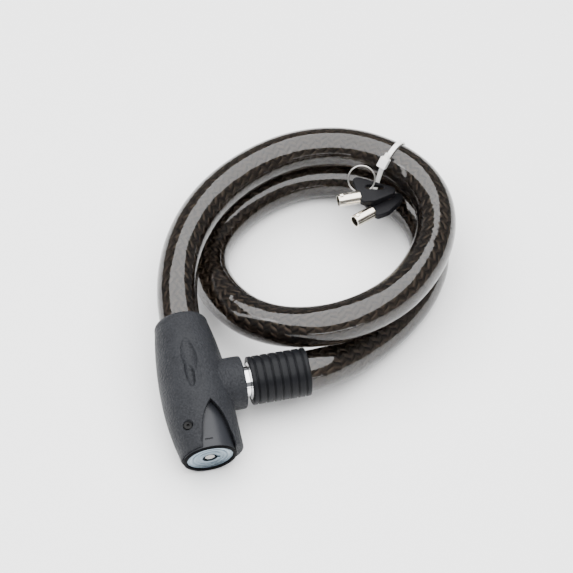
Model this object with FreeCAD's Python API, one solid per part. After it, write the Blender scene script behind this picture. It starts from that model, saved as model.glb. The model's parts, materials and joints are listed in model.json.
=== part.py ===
import FreeCAD, Part
import math
import os

# Armoured cable lock. Millimetres, +Z up. The head's own frame has Y along the barrel with the lock face at
# -Y, X along the plug towards the boot, and its origin where the two axes cross. The head lies tipped forward
# on its front rim, and the part's origin is at the centre of the head's footprint on the surface it rests on.

V = FreeCAD.Vector

# Cable
CABLE_D = 22.0
SLEEVE_WALL = 4.4
CORE_FIT = 0.05
ARC_SHARE = 0.45

# Cable ends inside the head and the plug
HEAD_JACKET_START = 25.2
HEAD_CORE_START = 14.2
HEAD_FIRST_BEND = 48.0
PLUG_JACKET_END = 47.2
PLUG_CORE_END = 36.2
PLUG_LAST_BEND = 66.0

# Route of the cable from the head to the plug: plan place from the head's centre, height from the surface
ROUTE = [
    (4.7, 71.0, 35.2), (14.1, 94.6, 35.2), (28.4, 115.3, 35.2), (46.5, 131.4, 35.2), (67.5, 142.9, 35.2),
    (90.0, 149.0, 35.2), (112.5, 147.4, 35.2), (131.8, 138.4, 35.4), (149.5, 120.4, 35.4), (156.6, 97.3, 35.4),
    (152.4, 72.5, 35.8), (139.0, 49.2, 37.0), (119.5, 29.6, 38.6), (97.0, 18.3, 40.2), (74.5, 15.0, 39.6),
    (52.8, 24.6, 32.4), (36.0, 41.0, 26.8), (26.4, 63.5, 22.4), (25.4, 88.5, 15.6), (33.5, 111.6, 11.8),
    (51.5, 130.4, 11.2), (75.5, 143.4, 11.2), (101.5, 147.4, 11.2), (127.5, 138.2, 12.8), (145.5, 120.6, 12.8),
    (153.8, 97.0, 11.8), (150.5, 72.0, 11.2), (137.0, 49.6, 11.2), (119.0, 32.2, 11.4), (100.5, 19.2, 13.2),
    (83.0, 8.0, 17.2),
]
TIE_UPPER_RUN = 7
TIE_LOWER_RUN = 23

# Lock head, outer form
HEAD_PITCH = 12.0
BELLY_R = 18.8
BELLY_Y = -6.0
REAR_END = 41.0
REAR_SHOULDER_Y = 37.0
REAR_SHOULDER_R = 14.5
REAR_RIM_R = 12.3
FRONT_END = -39.2
FRONT_SHOULDER_Y = -36.6
FRONT_SHOULDER_R = 15.5
FRONT_RIM_R = 14.8
LOBE_X = 4.6
LOBE_R = 13.9
LOBE_FRONT = -38.4
LOBE_FRONT_R = 12.6
LOBE_FULL_Y = -4.0
LOBE_TAIL_Y = 16.0
LOBE_TAIL_R = 9.0
COLLAR_R = 14.2
COLLAR_END = 26.0
COLLAR_ROUND = 1.0
COVER_JOINT = 0.1
FIT = 0.05

# Recess in the cover above the nose sleeve
ARCH_X = 4.5
ARCH_APEX_Y = -14.5
ARCH_HALF_WIDTHS = ((-22.0, 5.0), (-30.0, 7.5), (-36.0, 9.0))
# Eye-shaped hollows in the top
EYE_X = -2.0
EYE_Y = 11.3
EYE_HALF_LENGTH = 19.8
EYE_HALF_WIDTH = 5.2
EYE_DEPTH = 2.6
PUPIL_X = -3.0
PUPIL_Y = 2.5
PUPIL_HALF_LENGTH = 11.0
PUPIL_HALF_WIDTH = 2.5
PUPIL_DEPTH = 4.3
# Cover screws
SCREW_X = -9.5
SCREW_Y = -26.0
SCREW_WELL_R = 2.65
SCREW_SEAT_Z = 12.3
SCREW_HEAD_R = 2.1
SCREW_HEAD_H = 1.6
SCREW_SHANK_R = 1.2
SCREW_TIP_Z = 5.0
SCREW_SOCKET_R = 0.9
SCREW_SOCKET_DEPTH = 1.0

# Lock body
BODY_R = 14.0
BODY_BACK_Y = 24.0
BODY_TAIL_R = 12.6
BODY_TAIL_Y = 35.0
TUBE_Y = -12.0
TUBE_R = 12.75
TUBE_FRONT_Y = -38.9
COVER_CLEARANCE = 0.15

# Nose sleeve, seal and face plate
NOSE_R = 14.05
NOSE_FRONT_Y = -40.0
NOSE_BACK_Y = -12.3
SEAL_R = 13.5
SEAL_LIP = 1.0
FACE_PLATE_R = 12.4
FACE_PLATE_T = 1.0
FACE_GROOVES = ((6.3, 7.3), (9.0, 9.6))
FACE_GROOVE_DEPTH = 0.25
KEYWAY_R = 4.1
KEYWAY_NOTCH = 1.3
NOSE_SLOT_X = -0.3
NOSE_SLOT_Y = -35.5
NOSE_SLOT_LENGTH = 4.0
NOSE_SLOT_WIDTH = 0.8
NOSE_SLOT_DEPTH = 0.7

# Cylinder
SHELL_R = 9.2
SHELL_FRONT_Y = -38.6
SHELL_BACK_Y = -14.0
SHELL_BACK_WALL = 1.4
SHELL_LIP_Y = -33.0
ROTOR_R = 6.0
ROTOR_FIT = 0.1
ROTOR_BACK_Y = -24.05
POST_R = 2.5
POST_FRONT_Y = -39.6
SPINDLE_R = 1.9
PIN_COUNT = 7
PIN_RING_R = 3.35
PIN_R = 0.7
PIN_HOLE_R = 0.8
KEY_PIN_FRONT_Y = -34.5
PIN_PARTING = 0.1
DRIVER_LENGTH = 3.9
SPRING_INNER_R = 0.4
SPRING_BACK_GAP = 0.2
RETAINER_Y = -20.0
RETAINER_R = 1.25
RETAINER_DEPTH = 1.7

# Drive cam and latch plate
CAM_R = 4.4
CAM_FRONT_Y = -13.9
CAM_T = 1.2
CAM_PEG_R = 1.0
CAM_PEG_LENGTH = 1.9
CAM_THROW = 2.12
CAM_START_ANGLE = 45.0
LATCH_FRONT_X = 5.2
LATCH_BACK_X = 8.2
LATCH_HOLE_R = 8.7
LATCH_HALF_WIDTH = 10.4
LATCH_TOP_Z = 11.0
LATCH_FOOT_Z = -6.5
LATCH_TRAVEL = 3.0
LATCH_CLEARANCE = 0.2
EAR_FRONT_X = -0.5
EAR_FRONT_Y = -12.2
EAR_BOTTOM_Z = -3.2
EAR_TOP_Z = 4.6
EAR_SLOT_HALF = 1.15
EAR_SLOT_END_X = 4.2

# Plug and its socket
PLUG_PIN_R = 8.3
PLUG_PIN_TIP_X = -7.5
PLUG_PIN_TIP_R = 5.0
PLUG_PIN_CONE = 3.5
GROOVE_FRONT_X = 4.9
GROOVE_BACK_X = 8.5
GROOVE_R = 5.4
BOOT_START_X = 29.5
PLUG_SHOULDER_R = 10.0
PLUG_SHOULDER_X = 33.0
SOCKET_CLEARANCE = 0.08
SOCKET_BOTTOM_X = -9.0
LINER_START_X = 12.0
LINER_END_X = 25.6
LINER_R = 9.6
FERRULE_R = 10.5
FERRULE_END_X = 47.0
CRIMP_PIN_R = 1.5
PLUG_CRIMP_X = 41.0
BOOT_R = 13.0
BOOT_VALLEY_R = 12.1
BOOT_END_X = 61.0
BOOT_RIBS = 7
BOOT_RIB_PITCH = 4.3
BOOT_RIB_VALLEY = 1.3
BOOT_EDGE_ROUND = 0.6

# Ferrule on the cable's end in the head
HEAD_FERRULE_R = 9.5
HEAD_FERRULE_START = 12.0
HEAD_FERRULE_FLOOR = 2.0
HEAD_CRIMP_Y = 18.5

# Cable tie
TIE_T = 1.1
TIE_W = 2.5
TIE_GAP = 0.45
TIE_HEAD_LENGTH = 6.0
TIE_HEAD_WIDTH = 5.0
TIE_HEAD_HEIGHT = 4.2
TIE_HEAD_ANGLE = 30.0
TIE_HEAD_SET = 0.4
TIE_TAIL = 3.0
TIE_TAIL_SET = 0.6

# Keys: the bow is drawn with its root at 0,0 and the barrel pointing along -u
BARREL_R = 3.65
BARREL_BORE_R = 2.95
BARREL_LENGTH = 12.6
BARREL_BORE_DEPTH = 9.0
BARREL_SHANK = 6.0
BARREL_LUG_W = 1.6
BARREL_LUG_L = 1.8
BARREL_LUG_H = 0.7
BOW_CORNERS = ((-0.9, -5.2), (7.0, -6.4), (24.6, -1.8), (-0.9, 16.4))
BOW_CORNER_ROUND = 3.0
BOW_T = 4.0
BOW_WEB_T = 2.2
BOW_EDGE_ROUND = 0.6
BOW_SLOT_U = 10.0
BOW_SLOT_V = 3.6
BOW_SLOT_LENGTH = 11.0
BOW_SLOT_WIDTH = 3.6
BOW_SLOT_ANGLE = -18.0
KEY_PLACES = ((118.0, 111.9, 28.4, 2.3), (123.6, 103.8, 23.4, 23.6))
# Key ring
RING_R = 7.6
RING_WIRE_R = 0.45
RING_LEAN = 52.0
RING_HEADING = -15.7
RING_CENTRE = (121.1, 120.9, 33.15)


def rod_x(radius, start, end, y=0.0, z=0.0):
    """Cylinder along X from start to end."""
    return Part.makeCylinder(radius, end - start, V(start, y, z), V(1, 0, 0))


def rod_y(radius, start, end, x=0.0, z=0.0):
    """Cylinder along Y from start to end."""
    return Part.makeCylinder(radius, end - start, V(x, start, z), V(0, 1, 0))


def rod_z(radius, start, end, x=0.0, y=0.0):
    """Cylinder along Z from start to end."""
    return Part.makeCylinder(radius, end - start, V(x, y, start), V(0, 0, 1))


def block(x0, x1, y0, y1, z0, z1):
    """Box between two opposite corners."""
    return Part.makeBox(x1 - x0, y1 - y0, z1 - z0, V(x0, y0, z0))


def line(a, b):
    """Straight edge between two points."""
    return Part.LineSegment(a, b).toShape()


def arc(a, middle, b):
    """Circular edge through three points."""
    return Part.Arc(a, middle, b).toShape()


def bulge(a, b, rise):
    """Circular edge from a to b that stands out to the left of the chord, in the XY plane, by rise."""
    chord = b - a
    out = V(-chord.y, chord.x, 0).normalize()
    return arc(a, (a + b) * 0.5 + out * rise, b)


def crown_arc(apex_r, apex_y, end_r, end_y):
    """Arc in the XY plane from the apex, where it runs along Y, to the end point."""
    drop = apex_r - end_r
    run = end_y - apex_y
    radius = (drop * drop + run * run) / (2.0 * drop)
    half = math.asin(run / radius) / 2.0
    centre_r = apex_r - radius
    middle = V(centre_r + radius * math.cos(half), apex_y + radius * math.sin(half), 0)
    return V(apex_r, apex_y, 0), middle, V(end_r, end_y, 0)


def turned(edges, axis_point, axis):
    """Solid of revolution of a closed profile."""
    return Part.Face(Part.Wire(edges)).revolve(axis_point, axis, 360)


def stepped_rod_x(steps):
    """Turned rod along X from (x, radius) points in order, closed on the axis."""
    points = [V(steps[0][0], 0, 0)] + [V(x, radius, 0) for x, radius in steps] + [V(steps[-1][0], 0, 0)]
    wire = Part.makePolygon(points + [points[0]])
    return Part.Face(wire).revolve(V(0, 0, 0), V(1, 0, 0), 360)


def barrel_form():
    """Crowned outer barrel of the head."""
    rear = crown_arc(BELLY_R, BELLY_Y, REAR_SHOULDER_R, REAR_SHOULDER_Y)
    front = crown_arc(BELLY_R, BELLY_Y, FRONT_SHOULDER_R, FRONT_SHOULDER_Y)
    rear_rim = V(REAR_RIM_R, REAR_END, 0)
    front_rim = V(FRONT_RIM_R, FRONT_END, 0)
    edges = [
        line(V(0, FRONT_END, 0), front_rim),
        bulge(front_rim, front[2], -0.25),
        arc(front[2], front[1], front[0]),
        arc(rear[0], rear[1], rear[2]),
        bulge(rear[2], rear_rim, -0.7),
        line(rear_rim, V(0, REAR_END, 0)),
        line(V(0, REAR_END, 0), V(0, FRONT_END, 0)),
    ]
    return turned(edges, V(0, 0, 0), V(0, 1, 0))


def shoulder_form():
    """Lobe that carries the head's right side forward of the collar."""
    front_rim = V(LOBE_FRONT_R, LOBE_FRONT, 0)
    front_side = V(LOBE_R, LOBE_FRONT + (LOBE_R - LOBE_FRONT_R), 0)
    tail = crown_arc(LOBE_R, LOBE_FULL_Y, LOBE_TAIL_R, LOBE_TAIL_Y)
    edges = [
        line(V(0, LOBE_FRONT, 0), front_rim),
        bulge(front_rim, front_side, -0.3),
        line(front_side, tail[0]),
        arc(tail[0], tail[1], tail[2]),
        line(tail[2], V(0, LOBE_TAIL_Y, 0)),
        line(V(0, LOBE_TAIL_Y, 0), V(0, LOBE_FRONT, 0)),
    ]
    lobe = turned(edges, V(0, 0, 0), V(0, 1, 0))
    lobe.translate(V(LOBE_X, 0, 0))
    return lobe


def collar_form():
    """Round collar of the plug's socket, with a rounded mouth."""
    full = COLLAR_END - COLLAR_ROUND
    edges = [
        line(V(0, 0, 0), V(0, COLLAR_R, 0)),
        line(V(0, COLLAR_R, 0), V(full, COLLAR_R, 0)),
        bulge(V(full, COLLAR_R, 0), V(COLLAR_END, COLLAR_R - COLLAR_ROUND, 0), 0.29 * COLLAR_ROUND),
        line(V(COLLAR_END, COLLAR_R - COLLAR_ROUND, 0), V(COLLAR_END, 0, 0)),
        line(V(COLLAR_END, 0, 0), V(0, 0, 0)),
    ]
    return turned(edges, V(0, 0, 0), V(1, 0, 0))


def spindle(half_length, half_width, x, y, z):
    """Lens-shaped body of revolution about a line along Y."""
    edges = [
        arc(V(0, -half_length, 0), V(half_width, 0, 0), V(0, half_length, 0)),
        line(V(0, half_length, 0), V(0, -half_length, 0)),
    ]
    body = turned(edges, V(0, 0, 0), V(0, 1, 0))
    body.translate(V(x, y, z))
    return body


def arch_cutter():
    """Pointed arch, open towards the lock face, that uncovers the nose sleeve from above."""
    left = [V(ARCH_X - half, y, 0) for y, half in ARCH_HALF_WIDTHS]
    right = [V(ARCH_X + half, y, 0) for y, half in ARCH_HALF_WIDTHS]
    apex = V(ARCH_X, ARCH_APEX_Y, 0)
    front = NOSE_FRONT_Y - 2.0
    low_left = V(left[2].x, front, 0)
    low_right = V(right[2].x, front, 0)
    edges = [
        arc(left[1], left[0], apex),
        arc(apex, right[0], right[1]),
        line(right[1], right[2]),
        line(right[2], low_right),
        line(low_right, low_left),
        line(low_left, left[2]),
        line(left[2], left[1]),
    ]
    return Part.Face(Part.Wire(edges)).extrude(V(0, 0, BELLY_R + 5.0))


def cover_cavity():
    """Hollow of the covers round the lock body and the cable's end, with the socket's opening."""
    cavity = rod_y(BODY_R + COVER_CLEARANCE, FRONT_END - 3.0, BODY_BACK_Y + 0.2)
    cavity = cavity.fuse(rod_y(BODY_TAIL_R + COVER_CLEARANCE, BODY_BACK_Y, BODY_TAIL_Y + 0.2))
    cavity = cavity.fuse(rod_y(CABLE_D / 2.0 + 0.2, BODY_TAIL_Y, REAR_END + 3.0))
    return cavity.fuse(rod_x(LINER_R + 0.1, 0.0, COLLAR_END + 3.0))


def head_covers():
    """Top and bottom covers, split at the plane of both axes."""
    outer = barrel_form().fuse(shoulder_form()).fuse(collar_form())
    crown = BELLY_R
    eye = spindle(EYE_HALF_LENGTH, EYE_HALF_WIDTH, EYE_X, EYE_Y, crown + EYE_HALF_WIDTH - EYE_DEPTH - 1.0)
    eye.rotate(V(EYE_X, EYE_Y, crown), V(1, 0, 0), -2.5)
    pupil = spindle(PUPIL_HALF_LENGTH, PUPIL_HALF_WIDTH, PUPIL_X, PUPIL_Y, crown + PUPIL_HALF_WIDTH - PUPIL_DEPTH)
    shell = outer.cut(cover_cavity())
    well = rod_z(SCREW_WELL_R, SCREW_SEAT_Z, crown + 2.0, SCREW_X, SCREW_Y)
    well = well.fuse(rod_z(SCREW_SHANK_R + FIT, 0.0, crown, SCREW_X, SCREW_Y))
    top = shell.common(block(-40, 60, -60, 60, COVER_JOINT / 2.0, 40))
    bottom = shell.common(block(-40, 60, -60, 60, -40, -COVER_JOINT / 2.0))
    top = top.cut(arch_cutter()).cut(eye).cut(pupil).cut(well)
    bottom = bottom.cut(well.mirror(V(0, 0, 0), V(0, 0, 1)))
    return top, bottom


def cover_screws():
    """Two socket screws, one into each side of the lock body."""
    screws = []
    for side in (1, -1):
        head_top = SCREW_SEAT_Z + SCREW_HEAD_H
        screw = rod_z(SCREW_HEAD_R, SCREW_SEAT_Z, head_top, SCREW_X, SCREW_Y)
        screw = screw.fuse(rod_z(SCREW_SHANK_R, SCREW_TIP_Z, SCREW_SEAT_Z, SCREW_X, SCREW_Y))
        socket = Part.makePolygon([
            V(SCREW_X + SCREW_SOCKET_R * math.cos(math.radians(60 * i)),
              SCREW_Y + SCREW_SOCKET_R * math.sin(math.radians(60 * i)),
              head_top - SCREW_SOCKET_DEPTH)
            for i in range(7)
        ])
        screw = screw.cut(Part.Face(socket).extrude(V(0, 0, SCREW_SOCKET_DEPTH + 1.0)))
        if side < 0:
            screw = screw.mirror(V(0, 0, 0), V(0, 0, 1))
        screws.append(screw)
    return Part.makeCompound(screws)


def screw_holes():
    """Room for both cover screws in the pieces under the covers."""
    hole = rod_z(SCREW_SHANK_R + FIT, SCREW_TIP_Z - 0.3, BELLY_R, SCREW_X, SCREW_Y)
    hole = hole.fuse(rod_z(SCREW_WELL_R, SCREW_SEAT_Z, BELLY_R, SCREW_X, SCREW_Y))
    return hole.fuse(hole.mirror(V(0, 0, 0), V(0, 0, 1)))


def lock_body():
    """Cast body that carries the cylinder, the latch, the socket and the cable's ferrule."""
    body = rod_y(BODY_R, TUBE_Y, BODY_BACK_Y)
    body = body.fuse(rod_y(BODY_TAIL_R, BODY_BACK_Y, BODY_TAIL_Y))
    body = body.fuse(rod_y(TUBE_R, TUBE_FRONT_Y, TUBE_Y))
    body = body.cut(rod_x(PLUG_PIN_R + SOCKET_CLEARANCE, SOCKET_BOTTOM_X, BODY_R + 1.0))
    body = body.cut(rod_x(LINER_R + FIT, LINER_START_X - 0.2, BODY_R + 1.0))
    body = body.cut(rod_y(CABLE_D / 2.0 + 0.1, HEAD_JACKET_START - 0.2, BODY_TAIL_Y + 1.0))
    body = body.cut(rod_y(HEAD_FERRULE_R + 0.1, HEAD_FERRULE_START - 0.5, HEAD_JACKET_START))
    body = body.cut(rod_z(CRIMP_PIN_R + FIT, -BODY_R, BODY_R, 0.0, HEAD_CRIMP_Y))
    body = body.cut(rod_y(SHELL_R + 0.1, TUBE_FRONT_Y - 1.0, SHELL_BACK_Y + 0.05))
    body = body.cut(rod_y(CAM_R + 0.4, SHELL_BACK_Y, CAM_FRONT_Y + CAM_T + CAM_PEG_LENGTH + 0.3))
    slot_y = LATCH_HALF_WIDTH + LATCH_CLEARANCE
    body = body.cut(block(LATCH_FRONT_X - LATCH_CLEARANCE, LATCH_BACK_X + LATCH_CLEARANCE,
                          EAR_FRONT_Y - LATCH_CLEARANCE, slot_y,
                          LATCH_FOOT_Z - LATCH_TRAVEL - LATCH_CLEARANCE, BODY_R + 1.0))
    body = body.cut(block(EAR_FRONT_X - 0.4, LATCH_FRONT_X, EAR_FRONT_Y - LATCH_CLEARANCE,
                          -LATCH_HALF_WIDTH + LATCH_CLEARANCE,
                          EAR_BOTTOM_Z - LATCH_TRAVEL - 0.3, EAR_TOP_Z + 0.3))
    body = body.cut(retainer(RETAINER_R + FIT, TUBE_R + 1.0))
    return body.cut(screw_holes())


def retainer(radius, reach):
    """Pin that keys the cylinder shell in its bore, from the tube's outside into the shell."""
    return rod_z(radius, -reach, -(SHELL_R - RETAINER_DEPTH), 0.0, RETAINER_Y)


def nose_sleeve():
    """Moulded sleeve over the front tube, with a short slot on top and room for the seal."""
    sleeve = rod_y(NOSE_R, NOSE_FRONT_Y + 0.1, NOSE_BACK_Y)
    sleeve = sleeve.cut(rod_y(TUBE_R + 0.1, NOSE_FRONT_Y - 1.0, NOSE_BACK_Y + 1.0))
    sleeve = sleeve.cut(rod_y(SEAL_R + FIT, NOSE_FRONT_Y - 1.0, TUBE_FRONT_Y))
    half = NOSE_SLOT_LENGTH / 2.0
    sleeve = sleeve.cut(block(NOSE_SLOT_X - half, NOSE_SLOT_X + half, NOSE_SLOT_Y - NOSE_SLOT_WIDTH / 2.0,
                              NOSE_SLOT_Y + NOSE_SLOT_WIDTH / 2.0, NOSE_R - NOSE_SLOT_DEPTH, NOSE_R + 1.0))
    return sleeve.cut(screw_holes())


def face_seal():
    """Black ring round the face plate."""
    seal = rod_y(SEAL_R, NOSE_FRONT_Y + 0.05, TUBE_FRONT_Y)
    return seal.cut(rod_y(FACE_PLATE_R + 0.1, NOSE_FRONT_Y - 1.0, TUBE_FRONT_Y + 1.0))


def face_plate():
    """Turned plate with rings, the round keyway and the notch for the key's lug."""
    back = NOSE_FRONT_Y + FACE_PLATE_T
    plate = rod_y(FACE_PLATE_R, NOSE_FRONT_Y, back)
    for inner, outer in FACE_GROOVES:
        groove = rod_y(outer, NOSE_FRONT_Y - 1.0, NOSE_FRONT_Y + FACE_GROOVE_DEPTH)
        plate = plate.cut(groove.cut(rod_y(inner, NOSE_FRONT_Y - 2.0, back)))
    plate = plate.cut(rod_y(KEYWAY_R, NOSE_FRONT_Y - 1.0, back + 1.0))
    half = BARREL_LUG_W / 2.0 + 0.1
    return plate.cut(block(0.0, KEYWAY_R + KEYWAY_NOTCH, NOSE_FRONT_Y - 1.0, back + 1.0, -half, half))


def cylinder_shell():
    """Outer tube of the cylinder, narrow at the keyway and closed at the back."""
    shell = rod_y(SHELL_R, SHELL_FRONT_Y, SHELL_BACK_Y)
    shell = shell.cut(rod_y(KEYWAY_R, SHELL_FRONT_Y - 1.0, SHELL_LIP_Y))
    half = BARREL_LUG_W / 2.0 + 0.1
    shell = shell.cut(block(0.0, KEYWAY_R + KEYWAY_NOTCH, SHELL_FRONT_Y - 1.0, SHELL_LIP_Y, -half, half))
    shell = shell.cut(rod_y(ROTOR_R + ROTOR_FIT, SHELL_LIP_Y, SHELL_BACK_Y - SHELL_BACK_WALL))
    shell = shell.cut(rod_y(SPINDLE_R + ROTOR_FIT, SHELL_BACK_Y - 2.0, SHELL_BACK_Y + 1.0))
    return shell.cut(retainer(RETAINER_R + FIT, TUBE_R + 1.0))


def pin_ring(radius, start, end):
    """Rods along Y on the pin circle, one for each pin."""
    rods = []
    for i in range(PIN_COUNT):
        angle = 2.0 * math.pi * (i + 0.5) / PIN_COUNT
        rods.append(rod_y(radius, start, end, PIN_RING_R * math.cos(angle), PIN_RING_R * math.sin(angle)))
    return rods


def rotor():
    """Turning core: centre post, pin carrier and the spindle that drives the cam."""
    core = rod_y(POST_R, POST_FRONT_Y, SHELL_LIP_Y)
    core = core.fuse(rod_y(ROTOR_R, SHELL_LIP_Y + ROTOR_FIT, ROTOR_BACK_Y))
    core = core.fuse(rod_y(POST_R, SHELL_LIP_Y - 1.0, SHELL_LIP_Y + 1.0))
    for hole in pin_ring(PIN_HOLE_R, SHELL_LIP_Y - 1.0, ROTOR_BACK_Y + 1.0):
        core = core.cut(hole)
    return core.fuse(rod_y(SPINDLE_R, ROTOR_BACK_Y - 1.0, CAM_FRONT_Y + 0.01))


def pin_housing():
    """Fixed block behind the rotor that holds the driver pins and their springs."""
    back = SHELL_BACK_Y - SHELL_BACK_WALL
    housing = rod_y(ROTOR_R, ROTOR_BACK_Y + PIN_PARTING, back)
    housing = housing.cut(rod_y(SPINDLE_R + ROTOR_FIT, ROTOR_BACK_Y - 1.0, back + 1.0))
    for hole in pin_ring(PIN_HOLE_R, ROTOR_BACK_Y - 1.0, back + 1.0):
        housing = housing.cut(hole)
    return housing


def key_pins():
    """Pins that the key's end presses, carried in the rotor."""
    return Part.makeCompound(pin_ring(PIN_R, KEY_PIN_FRONT_Y, ROTOR_BACK_Y - 0.05))


def driver_pins():
    """Pins behind the key pins, carried in the fixed housing."""
    start = ROTOR_BACK_Y + PIN_PARTING
    return Part.makeCompound(pin_ring(PIN_R, start, start + DRIVER_LENGTH))


def pin_springs():
    """Springs behind the driver pins, as plain sleeves."""
    start = ROTOR_BACK_Y + PIN_PARTING + DRIVER_LENGTH + 0.05
    end = SHELL_BACK_Y - SHELL_BACK_WALL - SPRING_BACK_GAP
    outer = pin_ring(PIN_R, start, end)
    inner = pin_ring(SPRING_INNER_R, start - 1.0, end + 1.0)
    return Part.makeCompound([a.cut(b) for a, b in zip(outer, inner)])


def retaining_pin():
    """Cross pin that stops the cylinder from being drawn out."""
    return retainer(RETAINER_R, TUBE_R - 0.1)


def drive_cam():
    """Disc on the rotor's spindle with an off-centre peg that moves the latch."""
    back = CAM_FRONT_Y + CAM_T
    angle = math.radians(CAM_START_ANGLE)
    peg_x = CAM_THROW * math.cos(angle)
    peg_z = CAM_THROW * math.sin(angle)
    cam = rod_y(CAM_R, CAM_FRONT_Y + 0.02, back)
    return cam.fuse(rod_y(CAM_PEG_R, back, back + CAM_PEG_LENGTH, peg_x, peg_z))


def latch_plate():
    """Horseshoe plate that drops into the plug pin's groove, with an ear for the cam's peg."""
    plate = block(LATCH_FRONT_X, LATCH_BACK_X, -LATCH_HALF_WIDTH, LATCH_HALF_WIDTH, LATCH_FOOT_Z, LATCH_TOP_Z)
    plate = plate.cut(rod_x(LATCH_HOLE_R, LATCH_FRONT_X - 1.0, LATCH_BACK_X + 1.0))
    plate = plate.cut(block(LATCH_FRONT_X - 1.0, LATCH_BACK_X + 1.0, -LATCH_HOLE_R, LATCH_HOLE_R,
                            LATCH_FOOT_Z - 1.0, 0.0))
    ear = block(EAR_FRONT_X, LATCH_BACK_X, EAR_FRONT_Y, -LATCH_HALF_WIDTH, EAR_BOTTOM_Z, EAR_TOP_Z)
    slot_z = CAM_THROW * math.sin(math.radians(CAM_START_ANGLE))
    ear = ear.cut(block(EAR_FRONT_X - 1.0, EAR_SLOT_END_X, EAR_FRONT_Y - 1.0, -LATCH_HALF_WIDTH + 1.0,
                        slot_z - EAR_SLOT_HALF, slot_z + EAR_SLOT_HALF))
    return plate.fuse(ear)


def socket_liner():
    """Steel bush in the collar that the plug pin slides in."""
    liner = rod_x(LINER_R, LINER_START_X, LINER_END_X)
    return liner.cut(rod_x(PLUG_PIN_R + SOCKET_CLEARANCE, LINER_START_X - 1.0, LINER_END_X + 1.0))


def head_ferrule():
    """Cup crimped on the core's end inside the head."""
    cup = rod_y(HEAD_FERRULE_R, HEAD_FERRULE_START, HEAD_JACKET_START - 0.3)
    bore = rod_y(core_radius() + 0.1, HEAD_FERRULE_START + HEAD_FERRULE_FLOOR, HEAD_JACKET_START + 1.0)
    return cup.cut(bore).cut(rod_z(CRIMP_PIN_R + FIT, -BODY_R, BODY_R, 0.0, HEAD_CRIMP_Y))


def head_ferrule_pin():
    """Cross pin through the lock body, the ferrule and the core."""
    reach = BODY_R - 0.4
    return rod_z(CRIMP_PIN_R, -reach, reach, 0.0, HEAD_CRIMP_Y)


def plug_pin():
    """Chromed pin with a coned tip, the latch groove and the shoulder that seats on the ferrule."""
    cone_x = PLUG_PIN_TIP_X + PLUG_PIN_CONE
    return stepped_rod_x([
        (PLUG_PIN_TIP_X, PLUG_PIN_TIP_R), (cone_x, PLUG_PIN_R), (GROOVE_FRONT_X, PLUG_PIN_R),
        (GROOVE_FRONT_X, GROOVE_R), (GROOVE_BACK_X, GROOVE_R), (GROOVE_BACK_X, PLUG_PIN_R),
        (BOOT_START_X, PLUG_PIN_R), (BOOT_START_X, PLUG_SHOULDER_R), (PLUG_SHOULDER_X, PLUG_SHOULDER_R),
    ])


def plug_ferrule():
    """Tube crimped on the core behind the plug pin."""
    tube = rod_x(FERRULE_R, PLUG_SHOULDER_X, FERRULE_END_X)
    tube = tube.cut(rod_x(core_radius() + 0.1, PLUG_SHOULDER_X + 3.0, FERRULE_END_X + 1.0))
    return tube.cut(rod_z(CRIMP_PIN_R + FIT, -BOOT_R, BOOT_R, PLUG_CRIMP_X))


def plug_ferrule_pin():
    """Cross pin through the plug's ferrule and the core."""
    reach = FERRULE_R - 0.1
    return rod_z(CRIMP_PIN_R, -reach, reach, PLUG_CRIMP_X)


def plug_boot():
    """Moulded boot with tapered grooves between its ribs."""
    points = [(BOOT_START_X, BOOT_R - BOOT_EDGE_ROUND), (BOOT_START_X + BOOT_EDGE_ROUND, BOOT_R)]
    ribs_length = BOOT_RIBS * BOOT_RIB_PITCH
    first = (BOOT_START_X + BOOT_END_X - ribs_length) / 2.0
    land = (BOOT_RIB_PITCH - BOOT_RIB_VALLEY) / 2.0
    edges = [
        line(V(BOOT_START_X, 0, 0), V(*points[0], 0)),
        bulge(V(*points[0], 0), V(*points[1], 0), 0.29 * BOOT_EDGE_ROUND),
    ]
    last = V(*points[1], 0)
    for i in range(BOOT_RIBS):
        start = V(first + i * BOOT_RIB_PITCH + land, BOOT_R, 0)
        end = start + V(BOOT_RIB_VALLEY, 0, 0)
        floor = V(start.x + BOOT_RIB_VALLEY / 2.0, BOOT_VALLEY_R, 0)
        edges += [line(last, start), line(start, floor), line(floor, end)]
        last = end
    full = V(BOOT_END_X - BOOT_EDGE_ROUND, BOOT_R, 0)
    corner = V(BOOT_END_X, BOOT_R - BOOT_EDGE_ROUND, 0)
    edges += [
        line(last, full),
        bulge(full, corner, 0.29 * BOOT_EDGE_ROUND),
        line(corner, V(BOOT_END_X, 0, 0)),
        line(V(BOOT_END_X, 0, 0), V(BOOT_START_X, 0, 0)),
    ]
    boot = turned(edges, V(0, 0, 0), V(1, 0, 0))
    boot = boot.cut(rod_x(FERRULE_R + 0.1, BOOT_START_X - 1.0, PLUG_JACKET_END))
    return boot.cut(rod_x(CABLE_D / 2.0 + 0.1, PLUG_JACKET_END - 0.1, BOOT_END_X + 1.0))


def core_radius():
    """Radius of the braided core inside the sleeve."""
    return CABLE_D / 2.0 - SLEEVE_WALL - CORE_FIT


def tilt(point):
    """Turn a place in the head's frame to the head's pitch."""
    angle = math.radians(HEAD_PITCH)
    return V(point.x, point.y * math.cos(angle) - point.z * math.sin(angle),
             point.y * math.sin(angle) + point.z * math.cos(angle))


def cable_points(shift):
    """The cable's bends in order, with its straight ends on the head's and the plug's axes."""
    route = [tilt(V(0, HEAD_JACKET_START, 0)) + shift, tilt(V(0, HEAD_FIRST_BEND, 0)) + shift]
    route += [V(x + shift.x, y + shift.y, z) for x, y, z in ROUTE]
    return route + [V(PLUG_LAST_BEND, 0, 0) + shift, V(PLUG_JACKET_END, 0, 0) + shift]


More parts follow.
